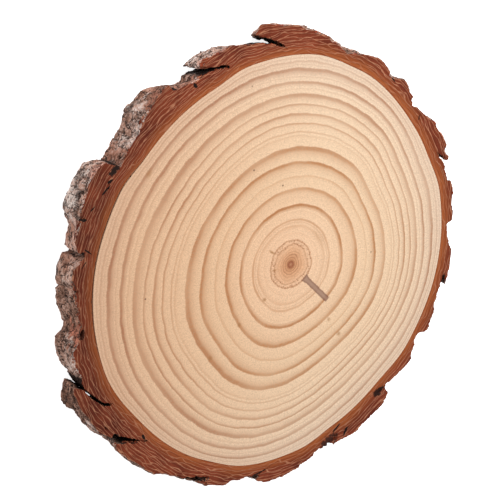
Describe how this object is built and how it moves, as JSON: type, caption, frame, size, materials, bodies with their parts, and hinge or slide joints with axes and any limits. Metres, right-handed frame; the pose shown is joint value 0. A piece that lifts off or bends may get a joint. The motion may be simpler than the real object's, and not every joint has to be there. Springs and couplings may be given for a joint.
{
  "type": "wood slice",
  "caption": "Round cross cut of a softwood trunk with its thick plated bark left on, for use as a centrepiece, tray, coaster base or craft blank.",
  "frame": {"origin": "under the middle of the slice's outline, on the lower sawn face, which is the face it rests on", "axes": "+Z along the trunk, out of the upper sawn face; the thickest bark lies towards -X"},
  "size_m": [0.3047, 0.3115, 0.02],
  "materials": {
    "wood": "sanded, unvarnished",
    "bark": "rough natural bark, sawn on both faces"
  },
  "bodies": {
    "root": {"wood": "wood", "bark": "bark"}
  },
  "joints": []
}
